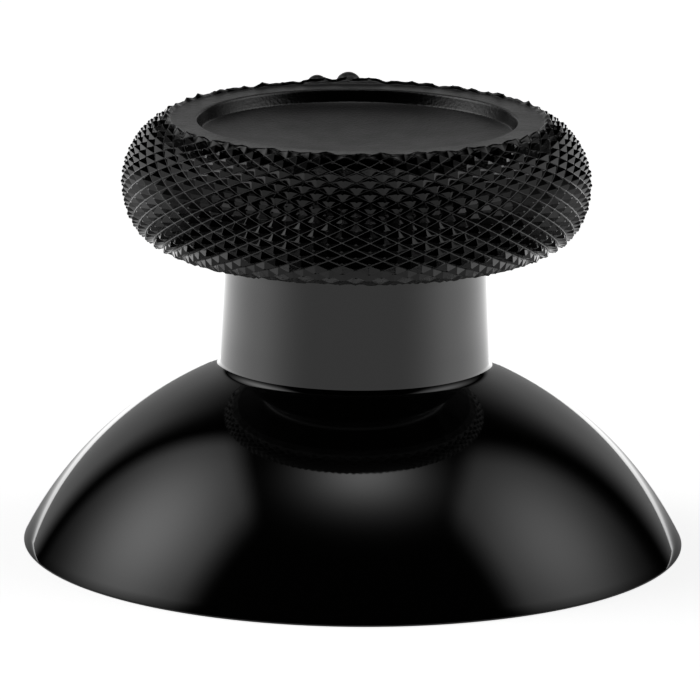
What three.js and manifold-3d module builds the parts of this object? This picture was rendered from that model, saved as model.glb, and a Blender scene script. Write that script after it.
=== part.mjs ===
// Thumbstick cap of a game controller, moulded in one piece of black plastic.
// Millimetres, +Z up. The origin is the centre of the rim that the skirt stands on.
import * as THREE from "three";
import { mergeVertices } from "three/addons/utils/BufferGeometryUtils.js";
import Module from "manifold-3d";

// Skirt: part of a sphere whose centre lies below the rim. It slides under the controller's shell.
// The rim radius is where the dome would meet the ground if its edge were sharp.
const rimRadius = 12.2;
const domeCentreDrop = 6.055;
const skirtWall = 1.1;
const rimRound = 0.06;

// Neck between skirt and head, slightly tapered for the mould.
const neckBaseRadius = 4.94;
const neckTopRadius = 4.8;
const neckFootFillet = 0.35;
const neckHeadFillet = 0.45;

// Head: two elliptical arcs meet at its widest line, and the knurl's tips lie on them. The upper one
// starts at the crest round the land, the lower one runs into a flat underside.
const headRadius = 8.65;
const widestHeight = 13.5;
const shoulderRise = 2.62;
const shoulderCentreRadius = 6.2;
const bellyDrop = 2.27;
const undersideRadius = 7;

// Top of the head: a low crest, and inside it a smooth land ring around a recess with a dished floor.
const crestWidth = 0.25;
const landRise = 2.33;
const landOuterRadius = 6.75;
const recessRadius = 5.85;
const recessDepth = 0.48;
const recessDraft = 0.12;
const recessBevel = 0.08;
const dishSag = 0.42;

// Knurl: crossed grooves leave diamond pyramids all round the side of the head, from the crest down and
// under to the end radius. At both ends the grooves get shallower over the last rows.
const knurlCount = 53;
const knurlPitch = 0.53;
const knurlEndRadius = 7.2;
const grooveDepth = 0.22;
const grooveEndDepth = 0.13;
const grooveFadeRows = 2;

// Nubs on the crest behind the recess, with azimuths in degrees from +X.
const nubCircleRadius = 7.3;
const largeNub = { radius: 0.5, standOff: 0.38, azimuth: 92.7 };
const smallNub = { radius: 0.42, standOff: 0.28, azimuth: 102 };

// Socket boss under the head, with two flats for the lever of the stick unit.
const bossRadius = 2.8;
const bossRecess = 1.2;
const socketRound = 4.1;
const socketFlats = 3.1;
const socketDepth = 7;

// Four ribs that tie the boss to the roof of the skirt.
const ribCount = 4;
const ribThickness = 0.9;
const ribReach = 5.2;
const ribFoot = 2.4;

// Fineness of the round surfaces.
const turnSteps = 64;
const bossSteps = 32;
const nubSteps = 12;
const domeSteps = 8;
const dishSteps = 4;
const roundSteps = 2;
const socketSteps = 8;
const arcSamples = 400;
const weldDistance = 1e-4;

const quarterTurn = Math.PI / 2;
const fullTurn = 2 * Math.PI;

// Places worked out from the sizes above.
const domeCentre = -domeCentreDrop;
const domeRadius = Math.hypot(rimRadius, domeCentreDrop);
const landHeight = widestHeight + landRise;
const crestRadius = landOuterRadius + crestWidth;
const crestAngle = Math.acos(
  (crestRadius - shoulderCentreRadius) / (headRadius - shoulderCentreRadius),
);
const undersideHeight = widestHeight - bellyDrop;
const cavityRadius = domeRadius - skirtWall;
const cavityRoof = domeCentre + cavityRadius;
const knurlColumns = 2 * knurlCount;

const wasm = await Module();
wasm.setup();

// A closed three.js geometry as a solid that can be joined and cut.
function toSolid(geometry) {
  const bare = geometry.clone();
  for (const name of ["normal", "uv"]) bare.deleteAttribute(name);
  const merged = mergeVertices(bare, weldDistance);
  const mesh = new wasm.Mesh({
    numProp: 3,
    vertProperties: merged.attributes.position.array,
    triVerts: new Uint32Array(merged.index.array),
  });
  return new wasm.Manifold(mesh);
}

// A solid back as a geometry with flat facets.
function toGeometry(solid) {
  const mesh = solid.getMesh();
  const geometry = new THREE.BufferGeometry();
  geometry.setAttribute("position", new THREE.BufferAttribute(mesh.vertProperties, mesh.numProp));
  geometry.setIndex(new THREE.BufferAttribute(mesh.triVerts, 1));
  const flat = geometry.toNonIndexed();
  flat.computeVertexNormals();
  return flat;
}

// A turned solid about +Z. Its [radius, height] points run from the axis, outwards and up, to the axis.
function turned(points, steps) {
  const profile = points.map(([radius, height]) => new THREE.Vector2(Math.max(radius, 0), height));
  const lathe = new THREE.LatheGeometry(profile, steps);
  return lathe.rotateX(quarterTurn);
}

// Points on an elliptical arc in the section plane, with angles counted from the outward direction.
function arc(centreRadius, centreHeight, run, rise, fromAngle, toAngle, steps) {
  const points = [];
  for (let i = 0; i <= steps; i++) {
    const angle = fromAngle + ((toAngle - fromAngle) * i) / steps;
    points.push([centreRadius + run * Math.cos(angle), centreHeight + rise * Math.sin(angle)]);
  }
  return points;
}

// A round arc in the section plane.
function roundArc([centreRadius, centreHeight], size, fromAngle, toAngle, steps) {
  return arc(centreRadius, centreHeight, size, size, fromAngle, toAngle, steps);
}

// The outside of skirt and neck. The neck runs on into the head, which covers its top.
// Rim round, dome, foot fillet and head fillet are tangent to each other and to the flats.
function skirtAndNeck() {
  const rimReach = domeRadius - rimRound;
  const rimLean = Math.asin((rimRound - domeCentre) / rimReach);
  const rimCentre = [rimReach * Math.cos(rimLean), rimRound];
  const footReach = domeRadius + neckFootFillet;
  const footRadius = neckBaseRadius + neckFootFillet;
  const footLean = Math.acos(footRadius / footReach);
  const footCentre = [footRadius, domeCentre + footReach * Math.sin(footLean)];
  const headCentre = [neckTopRadius + neckHeadFillet, undersideHeight - neckHeadFillet];
  const coreTop = (undersideHeight + landHeight) / 2;
  const profile = [
    [0, 0],
    ...roundArc(rimCentre, rimRound, -quarterTurn, rimLean, roundSteps).slice(0, -1),
    ...roundArc([0, domeCentre], domeRadius, rimLean, footLean, domeSteps),
    ...roundArc(footCentre, neckFootFillet, footLean - Math.PI, -Math.PI, roundSteps + 1).slice(1),
    ...roundArc(headCentre, neckHeadFillet, Math.PI, quarterTurn, roundSteps + 1),
    [headCentre[0], coreTop],
    [0, coreTop],
  ];
  return toSolid(turned(profile, turnSteps));
}

// One point of the head's side, at the knurl's tips, and the outward direction there.
function sidePoint(angle) {
  const upper = angle > 0;
  const centreRadius = upper ? shoulderCentreRadius : undersideRadius;
  const run = headRadius - centreRadius;
  const rise = upper ? shoulderRise : bellyDrop;
  const outward = new THREE.Vector2(Math.cos(angle) / run, Math.sin(angle) / rise).normalize();
  const radius = centreRadius + run * Math.cos(angle);
  const height = widestHeight + rise * Math.sin(angle);
  return { radius, height, outward };
}

// Angles that divide the knurled stretch of the side into rows of one length.
function knurlRowAngles() {
  const endAngle = -Math.acos((knurlEndRadius - undersideRadius) / (headRadius - undersideRadius));
  const angles = [crestAngle];
  const lengths = [0];
  for (let i = 1; i <= arcSamples; i++) {
    const angle = crestAngle + ((endAngle - crestAngle) * i) / arcSamples;
    const here = sidePoint(angle);
    const before = sidePoint(angles[i - 1]);
    angles.push(angle);
    lengths.push(lengths[i - 1] + Math.hypot(here.radius - before.radius, here.height - before.height));
  }
  const rowCount = Math.round((2 * lengths[arcSamples]) / knurlPitch);
  const rows = [];
  let sample = 0;
  for (let row = 0; row <= rowCount; row++) {
    const wanted = (lengths[arcSamples] * row) / rowCount;
    while (sample < arcSamples && lengths[sample] < wanted) sample += 1;
    rows.push(angles[sample]);
  }
  return rows;
}

// How deep the grooves cross in one row of the knurl.
function crossingDepth(row, lastRow) {
  const share = Math.min(1, row / grooveFadeRows, (lastRow - row) / grooveFadeRows);
  const eased = THREE.MathUtils.smoothstep(share, 0, 1);
  return THREE.MathUtils.lerp(grooveEndDepth, grooveDepth, eased);
}

// The head as one closed skin: flat top, crest, knurled side and plain underside, in the knurl's columns.
// Tips and groove crossings alternate, so each diamond is a pyramid of four facets.
function knurledHead() {
  const angles = knurlRowAngles();
  const lastRow = angles.length - 1;
  const plainAngle = (angles[lastRow] - quarterTurn) / 2;
  const landEdge = { radius: landOuterRadius, height: landHeight, depth: 0 };
  const sideRows = angles.map((angle, row) => {
    return { ...sidePoint(angle), depth: crossingDepth(row, lastRow) };
  });
  const plainRows = [plainAngle, -quarterTurn].map((angle) => ({ ...sidePoint(angle), depth: 0 }));
  const rings = [landEdge, ...sideRows, ...plainRows];
  const isCrossing = (ring, column) => (ring + column) % 2 === 0;

  const positions = [0, 0, landHeight];
  rings.forEach(({ radius, height, outward, depth }, ring) => {
    for (let column = 0; column < knurlColumns; column++) {
      const azimuth = (fullTurn * column) / knurlColumns - quarterTurn;
      const cut = depth > 0 && isCrossing(ring, column);
      const reach = cut ? radius - depth * outward.x : radius;
      const level = cut ? height - depth * outward.y : height;
      positions.push(reach * Math.cos(azimuth), reach * Math.sin(azimuth), level);
    }
  });
  positions.push(0, 0, undersideHeight);

  const at = (ring, column) => 1 + ring * knurlColumns + (column % knurlColumns);
  const lastRing = rings.length - 1;
  const bottom = 1 + rings.length * knurlColumns;
  const indices = [];
  for (let column = 0; column < knurlColumns; column++) {
    indices.push(0, at(0, column), at(0, column + 1));
    indices.push(bottom, at(lastRing, column + 1), at(lastRing, column));
  }
  // The cut across each square runs between two groove crossings, along the groove.
  for (let ring = 0; ring < lastRing; ring++) {
    for (let column = 0; column < knurlColumns; column++) {
      const upperLeft = at(ring, column);
      const upperRight = at(ring, column + 1);
      const lowerLeft = at(ring + 1, column);
      const lowerRight = at(ring + 1, column + 1);
      if (isCrossing(ring, column)) {
        indices.push(upperLeft, lowerLeft, lowerRight, upperLeft, lowerRight, upperRight);
      } else {
        indices.push(upperLeft, lowerLeft, upperRight, upperRight, lowerLeft, lowerRight);
      }
    }
  }
  const geometry = new THREE.BufferGeometry();
  geometry.setAttribute("position", new THREE.Float32BufferAttribute(positions, 3));
  geometry.setIndex(indices);
  return toSolid(geometry);
}

// What the mould leaves out of the head's top: a recess with a drafted wall and a dished floor.
function topRecess() {
  const floorHeight = landHeight - recessDepth;
  const wallFoot = recessRadius - recessDraft;
  const dishRadius = (wallFoot ** 2 + dishSag ** 2) / (2 * dishSag);
  const dishCentre = floorHeight - dishSag + dishRadius;
  const lean = Math.asin(wallFoot / dishRadius);
  const cutTop = landHeight + recessDepth;
  const profile = [
    ...arc(0, dishCentre, dishRadius, dishRadius, -quarterTurn, lean - quarterTurn, dishSteps),
    [recessRadius, landHeight - recessBevel],
    [recessRadius + recessBevel, landHeight],
    [recessRadius + recessBevel, cutTop],
    [0, cutTop],
  ];
  return toSolid(turned(profile, turnSteps));
}

// The hollow under the skirt, concentric with its outside.
function skirtHollow() {
  const foot = Math.asin(-domeCentre / cavityRadius);
  const footRadius = cavityRadius * Math.cos(foot);
  const profile = [
    [0, -skirtWall],
    [footRadius, -skirtWall],
    ...arc(0, domeCentre, cavityRadius, cavityRadius, foot, quarterTurn, domeSteps),
  ];
  return toSolid(turned(profile, turnSteps));
}

// Boss and ribs grow down from the roof of the hollow, so they start inside the neck.
function bossAndRibs() {
  const top = cavityRoof + skirtWall;
  const bossProfile = [
    [0, bossRecess],
    [bossRadius, bossRecess],
    [bossRadius, top],
    [0, top],
  ];
  let solid = toSolid(turned(bossProfile, bossSteps));
  const ribInside = new THREE.Shape();
  const roofAtReach = domeCentre + Math.sqrt((cavityRadius + skirtWall / 2) ** 2 - ribReach ** 2);
  ribInside.moveTo(0, ribFoot);
  ribInside.lineTo(bossRadius + ribThickness / 2, ribFoot);
  ribInside.lineTo(ribReach, roofAtReach - ribThickness);
  ribInside.lineTo(ribReach, roofAtReach);
  ribInside.lineTo(0, top);
  for (let rib = 0; rib < ribCount; rib++) {
    const plate = new THREE.ExtrudeGeometry(ribInside, { depth: ribThickness, bevelEnabled: false });
    plate.translate(0, 0, -ribThickness / 2).rotateX(quarterTurn);
    plate.rotateZ((fullTurn * (rib + 0.5)) / ribCount);
    solid = solid.add(toSolid(plate));
  }
  return solid;
}

// The blind socket: a round bore with two flats.
function leverSocket() {
  const halfFlats = socketFlats / 2;
  const boreRadius = socketRound / 2;
  const flatAngle = Math.asin(halfFlats / boreRadius);
  const outline = new THREE.Shape();
  outline.absarc(0, 0, boreRadius, -flatAngle, flatAngle, false);
  outline.absarc(0, 0, boreRadius, Math.PI - flatAngle, Math.PI + flatAngle, false);
  const bore = new THREE.ExtrudeGeometry(outline, {
    depth: socketDepth + bossRecess,
    bevelEnabled: false,
    curveSegments: socketSteps,
  });
  return toSolid(bore);
}

// A round nub beside the land, mostly sunk into the head.
function nub({ radius, standOff, azimuth }) {
  const ringSteps = nubSteps / 2;
  const ball = new THREE.SphereGeometry(radius, nubSteps, ringSteps);
  const turn = THREE.MathUtils.degToRad(azimuth);
  const height = landHeight + standOff - radius;
  ball.translate(nubCircleRadius * Math.cos(turn), nubCircleRadius * Math.sin(turn), height);
  return toSolid(ball);
}

const capSolid = skirtAndNeck()
  .add(knurledHead())
  .subtract(topRecess())
  .add(nub(largeNub))
  .add(nub(smallNub))
  .subtract(skirtHollow())
  .add(bossAndRibs())
  .subtract(leverSocket());

const blackPlastic = new THREE.MeshStandardMaterial({
  color: 0x0a0a0b,
  roughness: 0.25,
  metalness: 0,
});
const thumbstickCap = new THREE.Mesh(toGeometry(capSolid), blackPlastic);
thumbstickCap.name = "thumbstick_cap";

const cap = new THREE.Group();
cap.add(thumbstickCap);

export default cap;
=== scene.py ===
"""Looks of a thumbstick cap moulded in black plastic: glossy domed skirt and neck, knurled satin head.

Sizes in the code are millimetres, and the meshes are made in metres. The part's front faces -Y.
"""
import math

import bpy
import numpy as np
from mathutils import Matrix, Vector


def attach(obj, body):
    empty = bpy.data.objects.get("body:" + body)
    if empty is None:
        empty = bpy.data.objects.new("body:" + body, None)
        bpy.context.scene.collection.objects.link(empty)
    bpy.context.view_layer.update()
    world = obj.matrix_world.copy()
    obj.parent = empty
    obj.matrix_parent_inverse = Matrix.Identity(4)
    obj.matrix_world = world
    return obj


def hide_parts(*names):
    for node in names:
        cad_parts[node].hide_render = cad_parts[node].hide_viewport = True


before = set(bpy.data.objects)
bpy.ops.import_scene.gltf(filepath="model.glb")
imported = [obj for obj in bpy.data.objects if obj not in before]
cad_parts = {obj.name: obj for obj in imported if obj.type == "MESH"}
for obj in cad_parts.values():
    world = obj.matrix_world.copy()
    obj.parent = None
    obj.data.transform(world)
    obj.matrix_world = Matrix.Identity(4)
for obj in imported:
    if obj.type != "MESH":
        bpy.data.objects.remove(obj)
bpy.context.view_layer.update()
MM = 0.001
HALF_PI = math.pi / 2

# The finish of each face of the moulding, by its place in the list of finishes at the end.
GLOSS, SATIN, WALL, KNURLED, GROOVE, ROUGH, HIDDEN = range(7)

# Skirt, neck and head.
RIM_RADIUS = 12.2
DOME_RADIUS = 13.62
SKIRT_WALL = 1.1
RIM_ROUND = 0.06
NECK_BASE_RADIUS = 4.94
NECK_TOP_RADIUS = 4.8
NECK_FOOT_FILLET = 0.35
NECK_HEAD_FILLET = 0.45
HEAD_RADIUS = 8.65
WIDEST_HEIGHT = 13.5
SHOULDER_RISE = 2.62
SHOULDER_CENTRE_RADIUS = 6.2
BELLY_DROP = 2.27
UNDERSIDE_RADIUS = 7.0
UNDERSIDE_INSET = 0.3

# Crest, land, recess and dish.
CREST_WIDTH = 0.25
LAND_RISE = 2.33
LAND_OUTER_RADIUS = 6.75
LAND_MARGIN = 0.06
RECESS_RADIUS = 5.85
RECESS_DEPTH = 0.48
RECESS_DRAFT = 0.12
RECESS_BEVEL = 0.08
RECESS_FOOT_ROUND = 0.07
DISH_SAG = 0.42
DISH_FIRST_RADIUS = 0.4

# Rounded edges, as steps outwards and up from the sharp corner, with the finish up to each point.
RECESS_FOOT_EDGE = ((-0.02, 0.005, SATIN), (0.01, 0.06, WALL))
RECESS_LIP_EDGE = ((-0.01, -RECESS_BEVEL - 0.02, WALL), (0.02, -0.03, WALL), (RECESS_BEVEL, 0, SATIN))
RIM_INNER_EDGE = ((0.05, 0, HIDDEN), (-0.01, 0.05, HIDDEN))
BOSS_ROOT_EDGE = ((0.1, -0.02, HIDDEN), (0.01, -0.18, HIDDEN))
BOSS_END_EDGE = ((0, 0.12, HIDDEN), (-0.03, 0.03, HIDDEN), (-0.12, 0, HIDDEN))

# Inner slope of the crest: steps outwards and up from the land's edge, with a share of the swell.
CREST_FOOT_EDGE = ((0.02, 0.01, 0.1), (0.07, 0.04, 0.4))
CREST_TOP_INSET = 0.06
CREST_TOP_RISE = 0.118

# Knurl. It ends under the head, and its last rows have the rough finish of the belly's end.
KNURL_COUNT = 53
KNURL_PITCH = 0.53
KNURL_END_RADIUS = 7.2
GROOVE_DEPTH = 0.22
GROOVE_END_DEPTH = 0.13
GROOVE_FADE_ROWS = 2
ERODED_ROWS = 2

# Each side of a diamond is divided near its corners, at these shares of its length.
SIDE_PLACES = (0, 0.14, 0.86)
SIDE_STEPS = len(SIDE_PLACES)

# Rings inside a diamond, as shares of its size: groove bottom, end of the round foot, worn tip.
GROOVE_RING = 0.94
FOOT_RING = 0.86
TIP_RING = 0.13

# Least and added wear of a tip, as shares of the groove's depth, and its shift in half pitches.
TIP_SINK = 0.1
TIP_WEAR = 0.16
TIP_SHIFT = 0.04

# Nubs on the crest, with azimuths in degrees from +X.
NUB_CIRCLE_RADIUS = 7.3
NUB_STEPS_ROUND = 32
NUB_STEPS_DOWN = 20
NUBS = {
    "large_nub": {"radius": 0.5, "stand_off": 0.38, "azimuth": 92.7},
    "small_nub": {"radius": 0.42, "stand_off": 0.28, "azimuth": 102},
}

# The crest swells a little round the nubs and is slightly wavy. Both fade over the knurl's first rows.
SWELL = 0.1
SWELL_AZIMUTH = 94
SWELL_SPREAD = 14
SWELL_ROWS = 4
CREST_WAVE = 0.022
CREST_WAVES_ROUND = (23, 41, 67)

# Plain end of the belly, a little lumpy.
BELLY_LUMP = 0.04

# Hollow side of the part.
BOSS_RADIUS = 2.8
BOSS_RECESS = 1.2
BOSS_ROOT_REACH = 0.3
CAVITY_FIRST_LEAN = 0.01
SOCKET_ROUND = 4.1
SOCKET_FLATS = 3.1
SOCKET_DEPTH = 7.0
SOCKET_BEVEL = 0.15
RIB_COUNT = 4
RIB_THICKNESS = 0.9
RIB_REACH = 5.2
RIB_FOOT = 2.4
RIB_FOOT_BEVEL = 0.1
RIB_EDGE = 0.08
RIB_OVERLAP = 0.3

# Steps along each stretch of the section.
DISH_STEPS = 11
BELLY_STEPS = 3
HEAD_FILLET_STEPS = 6
NECK_STEPS = 5
FOOT_FILLET_STEPS = 8
DOME_STEPS = 28
RIM_STEPS = 5
CAVITY_STEPS = 12

# Noise in the plastic: scale of the patches and waves, and how far the patches change the roughness.
PATCH_SCALE = 900
PATCH_RANGE = (0.3, 0.7)
ROUGHNESS_SPREAD = 0.15
WAVE_SCALE = 260

# Side panels. Azimuths in degrees, 0 is the front and 90 the right. A fade runs over these cosines.
PANELS = (
    {"middle": -98, "rear": -147, "front": -50, "front_fade": 0.13, "strength": 2.5},
    {"middle": 94, "rear": 147, "front": 48, "front_fade": 0.2, "strength": 1.65},
)
PANEL_ELEVATION = 38
PANEL_FOCUS = 14.6
PANEL_TOP_ACROSS = 0.905
PANEL_TOP_DOWN = 0.425
PANEL_TOP_FADE = (-0.04, 0.08)
PANEL_REAR_FADE = (-0.02, 0.22)

# Light above, by the direction's x, y and z.
ABOVE_MIDDLE = (0.041, -0.011)
ABOVE_SPREAD = (0.211, 0.193)
ABOVE_FADE = (0.8, 0.92)
ABOVE_STRENGTH = 1.94

# Backdrop: azimuth and fade of its side edges, and elevations between which it fades upwards.
BACKDROP_SIDES = ((131, 0.19), (-132, 0.29))
BACKDROP_TOP = 50
BACKDROP_FULL = 16
BACKDROP_STRENGTH = 0.37

# Table: radius in metres, glow for each kind of ray, and where its painted glow in mirror images rises.
TABLE_RADIUS = 1.5
TABLE_CORNERS = 128
TABLE_SHADE = 0.8
TABLE_SEEN_GLOW = 0.75
TABLE_DIFFUSE_GLOW = 0.25
# The glow in mirror images is painted: painted light at the sides, below the panels, and painted shade
# in front and near the part.
TABLE_FRONT_PAINTED_GLOW = 0.54
TABLE_FRONT_PAINTED_SHADOW_RANGE = (0, 26)
TABLE_SIDE_PAINTED_LIGHT = 1.6
TABLE_SIDE_PAINTED_SHADOW_RANGE = (12, 50)
TABLE_PAINTED_SIDE_FADE = (0.85, 0.05)

# The photo's camera, found from the outline: its place in metres, its turns in radians.
CAMERA_PLACE = (0, -0.233, 0.061685)
CAMERA_PITCH = 0.229766
CAMERA_YAW = 0.000756
CAMERA_ROLL = 0.010563
CAMERA_LENS = 334.49
CAMERA_SENSOR = 36
CAMERA_CLIP = (0.01, 20)

# What follows from the sizes.
DOME_CENTRE = -math.sqrt(DOME_RADIUS**2 - RIM_RADIUS**2)
CAVITY_RADIUS = DOME_RADIUS - SKIRT_WALL
LAND_HEIGHT = WIDEST_HEIGHT + LAND_RISE
CREST_RADIUS = LAND_OUTER_RADIUS + CREST_WIDTH
CREST_ANGLE = math.acos((CREST_RADIUS - SHOULDER_CENTRE_RADIUS) / (HEAD_RADIUS - SHOULDER_CENTRE_RADIUS))
UNDERSIDE_HEIGHT = WIDEST_HEIGHT - BELLY_DROP
WALL_FOOT_RADIUS = RECESS_RADIUS - RECESS_DRAFT
WALL_FOOT_HEIGHT = LAND_HEIGHT - RECESS_DEPTH
DISH_RADIUS = (WALL_FOOT_RADIUS**2 + DISH_SAG**2) / (2 * DISH_SAG)
DISH_LOW = WALL_FOOT_HEIGHT - DISH_SAG
SOCKET_END = BOSS_RECESS + SOCKET_DEPTH
COLUMNS = 2 * KNURL_COUNT
TURN_STEPS = COLUMNS * SIDE_STEPS

random = np.random.default_rng(7)


def ring_turns():
    """The angles of a ring's points from +X, in radians. The first is at the front."""
    return 2 * math.pi * np.arange(TURN_STEPS) / TURN_STEPS - HALF_PI


def swell(turn):
    """How much higher the crest is at an angle from +X, in radians."""
    offset = np.degrees(np.angle(np.exp(1j * (turn - math.radians(SWELL_AZIMUTH)))))
    waves = sum(np.sin(count * turn + count) for count in CREST_WAVES_ROUND)
    return SWELL * np.exp(-((offset / SWELL_SPREAD) ** 2)) + CREST_WAVE * waves


def side_point(angle):
    """Radius, height and outward direction of the head's side, on the knurl's tips."""
    upper = angle > 0
    centre = SHOULDER_CENTRE_RADIUS if upper else UNDERSIDE_RADIUS
    run = HEAD_RADIUS - centre
    rise = SHOULDER_RISE if upper else BELLY_DROP
    out = np.array([math.cos(angle) / run, math.sin(angle) / rise])
    out /= np.linalg.norm(out)
    return centre + run * math.cos(angle), WIDEST_HEIGHT + rise * math.sin(angle), out


class Skin:
    """Collects the points and faces of one mesh. A face is shaded round or flat.

    Its finish is the place of its material in the mesh's list, which is 0 where there is only one.
    """

    def __init__(self):
        self.points = []
        self.faces = []
        self.finishes = []
        self.rounded = []
        self.shared = {}

    def point(self, position, key=None):
        """A point's number. Points with the same key are one."""
        if key is not None and key in self.shared:
            return self.shared[key]
        self.points.append(position)
        index = len(self.points) - 1
        if key is not None:
            self.shared[key] = index
        return index

    def face(self, corners, finish=0, rounded=True):
        self.faces.append(corners)
        self.finishes.append(finish)
        self.rounded.append(rounded)

    def ring(self, radius, height):
        """One ring. Its radius and height are numbers, or one number for each step."""
        turn = ring_turns()
        radius = np.broadcast_to(radius, turn.shape)
        height = np.broadcast_to(height, turn.shape)
        return [self.point(place) for place in zip(radius * np.cos(turn), radius * np.sin(turn), height)]

    def bridge(self, inner, outer, finish=0):
        """Quads between two rings. Seen from outside, the first ring is above or inside the second."""
        for i in range(len(inner)):
            j = (i + 1) % len(inner)
            self.face((inner[i], outer[i], outer[j], inner[j]), finish)

    def sweep(self, before, section):
        """Rings along a section of radius, height and finish, each bridged to the one before."""
        for radius, height, finish in section:
            ring = self.ring(radius, height)
            self.bridge(before, ring, finish)
            before = ring
        return before

    def fan(self, centre, ring, finish=0, up=True):
        """Triangles from a ring to its centre, which look up or down."""
        middle = self.point(centre)
        for i in range(len(ring)):
            j = (i + 1) % len(ring)
            pair = (ring[i], ring[j]) if up else (ring[j], ring[i])
            self.face((middle, *pair), finish)

    def mesh(self, name, materials):
        data = bpy.data.meshes.new(name)
        data.from_pydata([Vector(p) * MM for p in self.points], [], self.faces)
        for material in materials:
            data.materials.append(material)
        data.polygons.foreach_set("material_index", self.finishes)
        data.polygons.foreach_set("use_smooth", self.rounded)
        data.update()
        piece = bpy.data.objects.new(name, data)
        bpy.context.scene.collection.objects.link(piece)
        return piece


def knurl_rows():
    """How many half-pitch rows the knurl has, and the section angle at any place between them."""
    end = -math.acos((KNURL_END_RADIUS - UNDERSIDE_RADIUS) / (HEAD_RADIUS - UNDERSIDE_RADIUS))
    samples = 2001
    turn = np.linspace(CREST_ANGLE, end, samples)
    section = np.array([side_point(a)[:2] for a in turn])
    lengths = np.r_[0, np.cumsum(np.linalg.norm(np.diff(section, axis=0), axis=1))]
    rows = round(2 * lengths[-1] / KNURL_PITCH)
    return rows, lambda row: float(np.interp(row, lengths / lengths[-1] * rows, turn))


def knurl(skin):
    """The knurled side: diamond pyramids with narrow grooves between them, shallower at both ends."""
    rows, angle_at = knurl_rows()

    def depth_at(row):
        share = min(1, row / GROOVE_FADE_ROWS, (rows - row) / GROOVE_FADE_ROWS)
        eased = share * share * (3 - 2 * share)
        return GROOVE_END_DEPTH + (GROOVE_DEPTH - GROOVE_END_DEPTH) * eased

    def place(column, row, sink, key=None):
        """A point below the line of the tips, by a share of the groove's depth."""
        radius, height, out = side_point(angle_at(row))
        turn = 2 * math.pi * column / COLUMNS - HALF_PI
        lift = -sink * depth_at(row)
        reach = radius + lift * out[0]
        height += swell(turn) * max(0, 1 - row / SWELL_ROWS)
        spot = (reach * math.cos(turn), reach * math.sin(turn), height + lift * out[1])
        return skin.point(spot, key)

    def sink_at(share):
        """A facet sinks evenly from its tip down to the groove's flat bottom."""
        return min(1, share / GROOVE_RING)

    def at(step):
        """The place of a lattice step, in columns or rows."""
        return step // SIDE_STEPS + SIDE_PLACES[step % SIDE_STEPS]

    def lattice(column, row, across, down):
        """A shared point, given in steps from the tip at that column and row."""
        column_step = column * SIDE_STEPS + across
        row_step = row * SIDE_STEPS + down
        share = abs(at(across)) + abs(at(down))
        key = (column_step % TURN_STEPS, row_step)
        return place(at(column_step), at(row_step), sink_at(share), key)

    def finish_at(row, finish=KNURLED):
        return ROUGH if row > rows - ERODED_ROWS else finish

    def half_diamond(column, row, down):
        """A diamond cut in two by the first or last row, as a triangular grid."""
        for k in range(SIDE_STEPS):
            reach = SIDE_STEPS - k
            wide = [lattice(column, row, i, down * k) for i in range(-reach, reach + 1)]
            narrow = [lattice(column, row, i, down * (k + 1)) for i in range(1 - reach, reach)]
            strip = [(wide[0], narrow[0], wide[1]), (wide[-2], narrow[-1], wide[-1])]
            for i in range(len(narrow) - 1):
                strip.append((wide[i + 1], narrow[i], narrow[i + 1], wide[i + 2]))
            for corners in strip:
                skin.face(corners if down == 1 else corners[::-1], finish_at(row))

    def diamond(column, row):
        """Four flat facets round a worn tip, with a rounded foot and the groove about them."""
        wear = TIP_SINK + random.uniform(0, TIP_WEAR)
        tip_column, tip_row = random.uniform(-TIP_SHIFT, TIP_SHIFT, 2)
        path = [(SIDE_STEPS - k, k) for k in range(SIDE_STEPS)]
        path += [(-k, SIDE_STEPS - k) for k in range(SIDE_STEPS)]
        path += [(k - SIDE_STEPS, -k) for k in range(SIDE_STEPS)]
        path += [(k, k - SIDE_STEPS) for k in range(SIDE_STEPS)]
        count = len(path)
        before = [lattice(column, row, across, down) for across, down in path]
        for share, finish, rounded in (
            (GROOVE_RING, GROOVE, True),
            (FOOT_RING, KNURLED, True),
            (TIP_RING, KNURLED, False),
        ):
            sink = max(wear, sink_at(share))
            lean = 1 - share
            ring = [
                place(
                    column + share * at(across) + lean * tip_column,
                    row + share * at(down) + lean * tip_row,
                    sink,
                )
                for across, down in path
            ]
            for i in range(count):
                j = (i + 1) % count
                skin.face((before[i], ring[i], ring[j], before[j]), finish_at(row, finish), rounded)
            before = ring
        tip = place(column + tip_column, row + tip_row, wear)
        for i in range(count):
            skin.face((before[i], tip, before[(i + 1) % count]), finish_at(row), rounded=False)

    for row in range(rows + 1):
        for column in range(row % 2, COLUMNS, 2):
            if row == 0:
                half_diamond(column, row, 1)
            elif row == rows:
                half_diamond(column, row, -1)
            else:
                diamond(column, row)
    top = [skin.shared[i, 0] for i in range(TURN_STEPS)]
    bottom = [skin.shared[i, rows * SIDE_STEPS] for i in range(TURN_STEPS)]
    return top, bottom, angle_at(rows)


def arc(centre, radius, start, end, steps):
    """Points on an arc in the section plane."""
    turn = np.linspace(start, end, steps + 1)
    return [(centre[0] + radius * math.cos(a), centre[1] + radius * math.sin(a)) for a in turn]


def edge(radius, height, steps):
    """Section points of a rounded edge round a sharp corner."""
    return [(radius + out, height + up, finish) for out, up, finish in steps]


def dish_height(radius):
    return DISH_LOW + DISH_RADIUS - math.sqrt(DISH_RADIUS**2 - radius**2)


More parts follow.
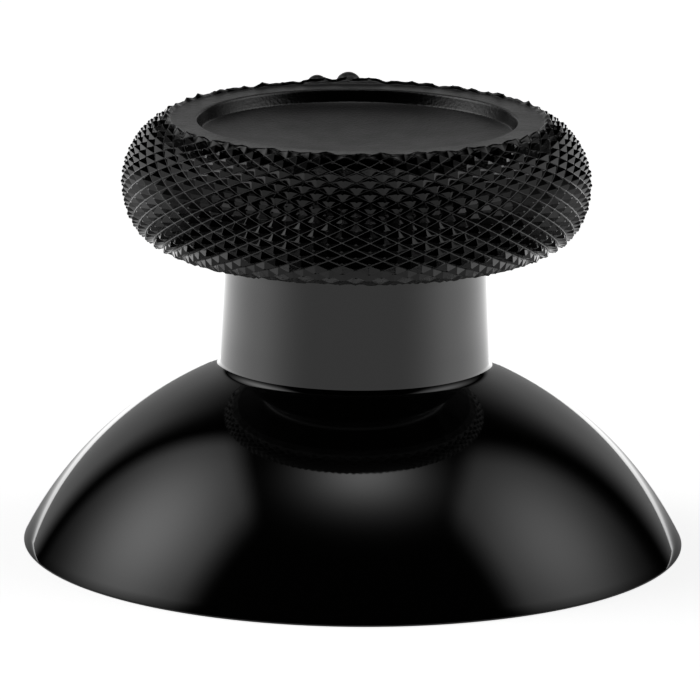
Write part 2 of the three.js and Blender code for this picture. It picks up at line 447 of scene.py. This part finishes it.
def top_section():
    """Dish, recess wall, land and the crest's inner slope, from the axis outwards."""
    lifted = swell(ring_turns())
    dish_rings = np.linspace(DISH_FIRST_RADIUS, WALL_FOOT_RADIUS - RECESS_FOOT_ROUND, DISH_STEPS + 1)
    section = [(radius, dish_height(radius), SATIN) for radius in dish_rings]
    section += edge(WALL_FOOT_RADIUS, WALL_FOOT_HEIGHT, RECESS_FOOT_EDGE)
    section += edge(RECESS_RADIUS, LAND_HEIGHT, RECESS_LIP_EDGE)
    for radius in (RECESS_RADIUS + RECESS_BEVEL + LAND_MARGIN, LAND_OUTER_RADIUS - LAND_MARGIN):
        section.append((radius, LAND_HEIGHT, SATIN))
    for out, up, share in CREST_FOOT_EDGE:
        section.append((LAND_OUTER_RADIUS + out, LAND_HEIGHT + up + share * lifted, SATIN))
    section.append((CREST_RADIUS - CREST_TOP_INSET, LAND_HEIGHT + CREST_TOP_RISE + lifted, KNURLED))
    return section


def belly_end(skin, before, start):
    """Lumpy rings from the end of the knurl to the flat underside of the head."""
    for angle in np.linspace(start, -HALF_PI, BELLY_STEPS + 1)[1:]:
        radius, height, out = side_point(angle)
        lump = random.uniform(-BELLY_LUMP, BELLY_LUMP, TURN_STEPS)
        before = skin.sweep(before, [(radius + lump * out[0], height + lump * out[1], ROUGH)])
    return before


def outer_section():
    """Underside of the head, neck, domed skirt and rim."""
    head_centre = (NECK_TOP_RADIUS + NECK_HEAD_FILLET, UNDERSIDE_HEIGHT - NECK_HEAD_FILLET)
    foot_reach = DOME_RADIUS + NECK_FOOT_FILLET
    foot_radius = NECK_BASE_RADIUS + NECK_FOOT_FILLET
    foot_lean = math.acos(foot_radius / foot_reach)
    foot_centre = (foot_radius, DOME_CENTRE + foot_reach * math.sin(foot_lean))
    neck_radii = np.linspace(NECK_TOP_RADIUS, NECK_BASE_RADIUS, NECK_STEPS + 1)
    neck_heights = np.linspace(head_centre[1], foot_centre[1], NECK_STEPS + 1)
    rim_reach = DOME_RADIUS - RIM_ROUND
    rim_lean = math.asin((RIM_ROUND - DOME_CENTRE) / rim_reach)
    rim_centre = (rim_reach * math.cos(rim_lean), RIM_ROUND)
    glossy = [
        *arc(head_centre, NECK_HEAD_FILLET, HALF_PI, math.pi, HEAD_FILLET_STEPS),
        *zip(neck_radii[1:-1], neck_heights[1:-1]),
        *arc(foot_centre, NECK_FOOT_FILLET, math.pi, math.pi + foot_lean, FOOT_FILLET_STEPS),
        *arc((0, DOME_CENTRE), DOME_RADIUS, foot_lean, rim_lean, DOME_STEPS)[1:],
        *arc(rim_centre, RIM_ROUND, rim_lean, -HALF_PI, RIM_STEPS)[1:],
    ]
    underside = (UNDERSIDE_RADIUS - UNDERSIDE_INSET, UNDERSIDE_HEIGHT, ROUGH)
    return [underside] + [(*point, GLOSS) for point in glossy]


def hollow_section():
    """Inner edge of the rim, hollow under the dome, and boss."""
    foot_lean = math.asin(-DOME_CENTRE / CAVITY_RADIUS)
    roof_lean = math.acos((BOSS_RADIUS + BOSS_ROOT_REACH) / CAVITY_RADIUS)
    first_lean = foot_lean + CAVITY_FIRST_LEAN
    cavity = arc((0, DOME_CENTRE), CAVITY_RADIUS, first_lean, roof_lean, CAVITY_STEPS)
    section = edge(CAVITY_RADIUS * math.cos(foot_lean), 0, RIM_INNER_EDGE)
    section += [(*point, HIDDEN) for point in cavity]
    section += edge(BOSS_RADIUS, cavity[-1][1], BOSS_ROOT_EDGE)
    section += edge(BOSS_RADIUS, BOSS_RECESS, BOSS_END_EDGE)
    return section


def socket_section():
    """The blind socket in the boss: round, with two flats in front and behind."""
    nearly_zero = 1e-6
    flats = SOCKET_FLATS / 2 / np.maximum(np.abs(np.sin(ring_turns())), nearly_zero)
    bore = np.minimum(SOCKET_ROUND / 2, flats)
    return [
        (bore + SOCKET_BEVEL, BOSS_RECESS, HIDDEN),
        (bore, BOSS_RECESS + SOCKET_BEVEL, HIDDEN),
        (bore, SOCKET_END, HIDDEN),
    ]


def moulding(materials):
    """The whole cap as one closed skin, from the dish down the outside and up into the socket."""
    skin = Skin()
    top, bottom, end_angle = knurl(skin)
    first, *others = top_section()
    before = skin.ring(*first[:2])
    skin.fan((0, 0, DISH_LOW), before, SATIN)
    before = skin.sweep(before, others)
    skin.bridge(before, top, KNURLED)
    before = belly_end(skin, bottom, end_angle)
    before = skin.sweep(before, outer_section() + hollow_section() + socket_section())
    skin.fan((0, 0, SOCKET_END), before, HIDDEN, up=False)
    return skin.mesh("cap_moulding", materials)


def ribs(material):
    """Plates between the boss and the roof of the hollow, with rounded free edges."""
    skin = Skin()
    half = RIB_THICKNESS / 2
    buried_radius = CAVITY_RADIUS + SKIRT_WALL / 2
    roof_at_reach = DOME_CENTRE + math.sqrt(buried_radius**2 - RIB_REACH**2)
    inner = BOSS_RADIUS - RIB_OVERLAP
    foot_end = BOSS_RADIUS + half
    outline = [
        (inner, RIB_FOOT),
        (foot_end - RIB_FOOT_BEVEL, RIB_FOOT),
        (foot_end, RIB_FOOT + RIB_EDGE),
        (RIB_REACH, roof_at_reach - RIB_THICKNESS),
        (RIB_REACH, roof_at_reach),
        (inner, DOME_CENTRE + buried_radius),
    ]
    middle = sum((Vector(place) for place in outline), Vector((0, 0))) / len(outline)
    layers = ((-half, RIB_EDGE), (RIB_EDGE - half, 0), (half - RIB_EDGE, 0), (half, RIB_EDGE))
    for rib in range(RIB_COUNT):
        turn = 2 * math.pi * (rib + 0.5) / RIB_COUNT
        out = Vector((math.cos(turn), math.sin(turn), 0))
        side = Vector((-math.sin(turn), math.cos(turn), 0))
        rings = []
        for across, inset in layers:
            ring = []
            for place in outline:
                pull = Vector(place) - middle
                spot = middle + pull - pull.normalized() * inset
                ring.append(skin.point(out * spot.x + side * across + Vector((0, 0, spot.y))))
            rings.append(ring)
        skin.face(rings[0])
        for near, far in zip(rings, rings[1:]):
            skin.bridge(near, far)
        skin.face(rings[-1][::-1])
    return skin.mesh("boss_ribs", [material])


def nub(name, material, radius, stand_off, azimuth):
    """A small round nub on the crest behind the recess, mostly sunk into the head."""
    turn = math.radians(azimuth)
    height = LAND_HEIGHT + stand_off - radius
    centre = Vector((NUB_CIRCLE_RADIUS * math.cos(turn), NUB_CIRCLE_RADIUS * math.sin(turn), height))
    skin = Skin()
    rings = []
    for lean in math.pi * np.arange(1, NUB_STEPS_DOWN) / NUB_STEPS_DOWN:
        level = Vector((0, 0, math.cos(lean)))
        ring = []
        for swing in 2 * math.pi * np.arange(NUB_STEPS_ROUND) / NUB_STEPS_ROUND:
            out = math.sin(lean) * Vector((math.cos(swing), math.sin(swing), 0))
            ring.append(skin.point(centre + radius * (out + level)))
        rings.append(ring)
    skin.fan(centre + Vector((0, 0, radius)), rings[0])
    for near, far in zip(rings, rings[1:]):
        skin.bridge(near, far)
    skin.fan(centre - Vector((0, 0, radius)), rings[-1], up=False)
    return skin.mesh(name, [material])


class Graph:
    """An emptied node tree of a material or world, filled by short calls."""

    def __init__(self, owner):
        owner.use_nodes = True
        self.nodes = owner.node_tree.nodes
        self.links = owner.node_tree.links
        self.nodes.clear()

    def feed(self, socket, value):
        """Links a socket to another node's output, or sets it to a constant."""
        if isinstance(value, bpy.types.NodeSocket):
            self.links.new(value, socket)
        else:
            socket.default_value = value

    def add(self, kind, **inputs):
        """A new node. Its inputs are named, with an underscore for each space."""
        node = self.nodes.new(kind)
        for name, value in inputs.items():
            self.feed(node.inputs[name.replace("_", " ")], value)
        return node

    def combine(self, kind, operation, *values):
        """The outputs of a new node that has an operation. Its inputs are given in their order."""
        node = self.nodes.new(kind)
        node.operation = operation
        for socket, value in zip(node.inputs, values):
            self.feed(socket, value)
        return node.outputs

    def maths(self, operation, *values):
        return self.combine("ShaderNodeMath", operation, *values)["Value"]

    def dot(self, direction, other):
        return self.combine("ShaderNodeVectorMath", "DOT_PRODUCT", direction, other)["Value"]

    def times(self, *values):
        product = values[0]
        for value in values[1:]:
            product = self.maths("MULTIPLY", product, value)
        return product

    def rise(self, value, start, end, high=1):
        """A smooth step from 0 up to a level, while the value goes from start to end."""
        node = self.add("ShaderNodeMapRange", Value=value, From_Min=start, From_Max=end, To_Max=high)
        node.interpolation_type = "SMOOTHSTEP"
        return node.outputs["Result"]

    def mix(self, factor, first, second):
        """A blend of two numbers."""
        node = self.add("ShaderNodeMix", Factor=factor)
        self.feed(node.inputs[2], first)
        self.feed(node.inputs[3], second)
        return node.outputs[0]


def plastic(name, shade, roughness, grain, depth, wave=0, specular=0.5):
    """Black plastic: noise varies its roughness, and a fine grain and slow waves bend its surface.

    The grain is a noise scale, and the depths of grain and wave are in millimetres.
    """
    material = bpy.data.materials.new(name)
    graph = Graph(material)
    place = graph.add("ShaderNodeTexCoord").outputs["Object"]

    def noise(scale, detail):
        return graph.add("ShaderNodeTexNoise", Vector=place, Scale=scale, Detail=detail).outputs["Fac"]

    def bump(height, distance, **below):
        node = graph.add("ShaderNodeBump", Height=height, Strength=1, Distance=distance * MM, **below)
        return node.outputs["Normal"]

    level = graph.add(
        "ShaderNodeMapRange",
        Value=noise(PATCH_SCALE, detail=5),
        From_Min=PATCH_RANGE[0],
        From_Max=PATCH_RANGE[1],
        To_Min=roughness * (1 - ROUGHNESS_SPREAD),
        To_Max=roughness * (1 + ROUGHNESS_SPREAD),
    )
    normal = bump(noise(grain, detail=2), depth)
    if wave:
        normal = bump(noise(WAVE_SCALE, detail=2), wave, Normal=normal)
    shader = graph.add(
        "ShaderNodeBsdfPrincipled",
        Base_Color=(shade, shade, shade, 1),
        Roughness=level.outputs["Result"],
        IOR=1.5,
        Specular_IOR_Level=specular,
        Normal=normal,
    )
    graph.add("ShaderNodeOutputMaterial", Surface=shader.outputs["BSDF"])
    return material


def studio():
    """Soft lights left, right and above, a pale backdrop behind, a dark front, and a white view."""
    world = bpy.data.worlds.new("studio")
    bpy.context.scene.world = world
    graph = Graph(world)
    view = graph.add("ShaderNodeTexCoord").outputs["Generated"]

    def along(direction):
        return graph.dot(view, direction)

    def pointing(azimuth, elevation=0):
        """A direction. Azimuth 0 is the front, 90 the right, both in degrees."""
        a, e = math.radians(azimuth), math.radians(elevation)
        return Vector((math.sin(a) * math.cos(e), -math.cos(a) * math.cos(e), math.sin(e)))

    def lobe(azimuth, elevation, focus):
        """A round light that fades from its middle. The focus is one over its spread squared."""
        away = graph.maths("SUBTRACT", along(pointing(azimuth, elevation)), 1)
        return graph.maths("EXPONENT", graph.times(away, focus))

    def hump(value, middle, spread):
        """A smooth hill over one value."""
        offset = graph.maths("DIVIDE", graph.maths("SUBTRACT", value, middle), spread)
        return graph.maths("EXPONENT", graph.times(offset, offset, -1))

    def panel(middle, rear, front, front_fade, strength):
        """A light at one side, cut straight along its upper, rear and front edges."""
        side = math.copysign(PANEL_TOP_ACROSS, middle)
        return graph.times(
            lobe(middle, PANEL_ELEVATION, PANEL_FOCUS),
            graph.rise(along((side, 0, -PANEL_TOP_DOWN)), *PANEL_TOP_FADE),
            graph.rise(along(pointing(rear)), *PANEL_REAR_FADE),
            graph.rise(along(pointing(front)), 0, front_fade),
            strength,
        )

    left, right = (panel(**edges) for edges in PANELS)
    height = along((0, 0, 1))
    above = graph.times(
        hump(along((1, 0, 0)), ABOVE_MIDDLE[0], ABOVE_SPREAD[0]),
        hump(along((0, 1, 0)), ABOVE_MIDDLE[1], ABOVE_SPREAD[1]),
        graph.rise(height, *ABOVE_FADE),
        ABOVE_STRENGTH,
    )
    behind = graph.times(
        *(graph.rise(along(pointing(azimuth)), 0, fade) for azimuth, fade in BACKDROP_SIDES),
        graph.rise(height, pointing(0, BACKDROP_TOP).z, pointing(0, BACKDROP_FULL).z),
        BACKDROP_STRENGTH,
    )
    sides = graph.maths("ADD", left, right)
    total = graph.maths("ADD", sides, graph.maths("ADD", above, behind))

    # The camera sees white, and everything else sees the lights.
    rays = graph.add("ShaderNodeLightPath").outputs
    lights = graph.add("ShaderNodeBackground", Color=(1, 1, 1, 1), Strength=total)
    white = graph.add("ShaderNodeBackground", Color=(1, 1, 1, 1))
    shown = graph.add("ShaderNodeMixShader", Fac=rays["Is Camera Ray"])
    graph.feed(shown.inputs[1], lights.outputs["Background"])
    graph.feed(shown.inputs[2], white.outputs["Background"])
    graph.add("ShaderNodeOutputWorld", Surface=shown.outputs["Shader"])


def floor():
    """A round pale table. It glows a little, so that it shows white and still keeps the shadow.

    In reflections its glow is painted: painted light makes it brighter at the sides, below the panels,
    and painted shade makes it darker near the dark front and close to the part.
    """
    bpy.ops.mesh.primitive_circle_add(
        vertices=TABLE_CORNERS, radius=TABLE_RADIUS, fill_type="NGON", location=(0, 0, 0)
    )
    table = bpy.context.object
    table.name = "floor"
    material = bpy.data.materials.new("pale_table")
    graph = Graph(material)
    place = graph.add("ShaderNodeTexCoord").outputs["Object"]
    distance = graph.combine("ShaderNodeVectorMath", "LENGTH", place)["Value"]
    heading = graph.combine("ShaderNodeVectorMath", "NORMALIZE", place)["Vector"]
    ahead = graph.dot(heading, (0, -1, 0))

    # Painted shadow of the part: the glow in mirror images rises from nothing near the part to its full
    # level farther out.
    def painted_glow_beyond(distances, glow):
        start, end = distances
        return graph.rise(distance, start * MM, end * MM, glow)

    # Glow that only mirror images see: painted light at the sides, and painted shade in front and near
    # the part.
    front = painted_glow_beyond(TABLE_FRONT_PAINTED_SHADOW_RANGE, TABLE_FRONT_PAINTED_GLOW)
    side = painted_glow_beyond(TABLE_SIDE_PAINTED_SHADOW_RANGE, TABLE_SIDE_PAINTED_LIGHT)
    painted_mirror_glow = graph.mix(graph.rise(ahead, *TABLE_PAINTED_SIDE_FADE), front, side)
    rays = graph.add("ShaderNodeLightPath").outputs
    glow = graph.mix(rays["Is Glossy Ray"], TABLE_DIFFUSE_GLOW, painted_mirror_glow)
    glow = graph.mix(rays["Is Camera Ray"], glow, TABLE_SEEN_GLOW)
    matt = graph.add("ShaderNodeBsdfDiffuse", Color=(TABLE_SHADE, TABLE_SHADE, TABLE_SHADE, 1))
    light = graph.add("ShaderNodeEmission", Color=(1, 1, 1, 1), Strength=glow)
    both = graph.add("ShaderNodeAddShader")
    graph.feed(both.inputs[0], matt.outputs["BSDF"])
    graph.feed(both.inputs[1], light.outputs["Emission"])
    graph.add("ShaderNodeOutputMaterial", Surface=both.outputs["Shader"])
    table.data.materials.append(material)


def camera():
    """The photo's camera."""
    data = bpy.data.cameras.new("camera")
    data.lens = CAMERA_LENS
    data.sensor_width = CAMERA_SENSOR
    data.clip_start, data.clip_end = CAMERA_CLIP
    eye = bpy.data.objects.new("camera", data)
    bpy.context.scene.collection.objects.link(eye)
    eye.matrix_world = (
        Matrix.Translation(CAMERA_PLACE)
        @ Matrix.Rotation(CAMERA_YAW, 4, "Z")
        @ Matrix.Rotation(HALF_PI - CAMERA_PITCH, 4, "X")
        @ Matrix.Rotation(CAMERA_ROLL, 4, "Z")
    )
    bpy.context.scene.camera = eye


camera()
studio()
floor()

finishes = [
    plastic("gloss_black", shade=0.0015, roughness=0.05, grain=9000, depth=0.0002, wave=0.0015),
    plastic("satin_black", shade=0.022, roughness=0.34, grain=9000, depth=0.03),
    plastic("wall_black", shade=0.0015, roughness=0.22, grain=9000, depth=0.012),
    plastic("knurl_black", shade=0.0005, roughness=0.12, grain=14000, depth=0.002, specular=0.28),
    plastic("groove_black", shade=0.002, roughness=0.3, grain=14000, depth=0.002, specular=0.55),
    plastic("eroded_black", shade=0.025, roughness=0.4, grain=6000, depth=0.04),
    plastic("hollow_black", shade=0.004, roughness=0.3, grain=9000, depth=0.003),
]

cap = moulding(finishes)
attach(cap, "root")
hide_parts("thumbstick_cap")
extras = [ribs(finishes[HIDDEN])]
extras += [nub(name, finishes[SATIN], **sizes) for name, sizes in NUBS.items()]
for piece in extras:
    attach(piece, "root")

bpy.context.scene.view_settings.view_transform = "Standard"
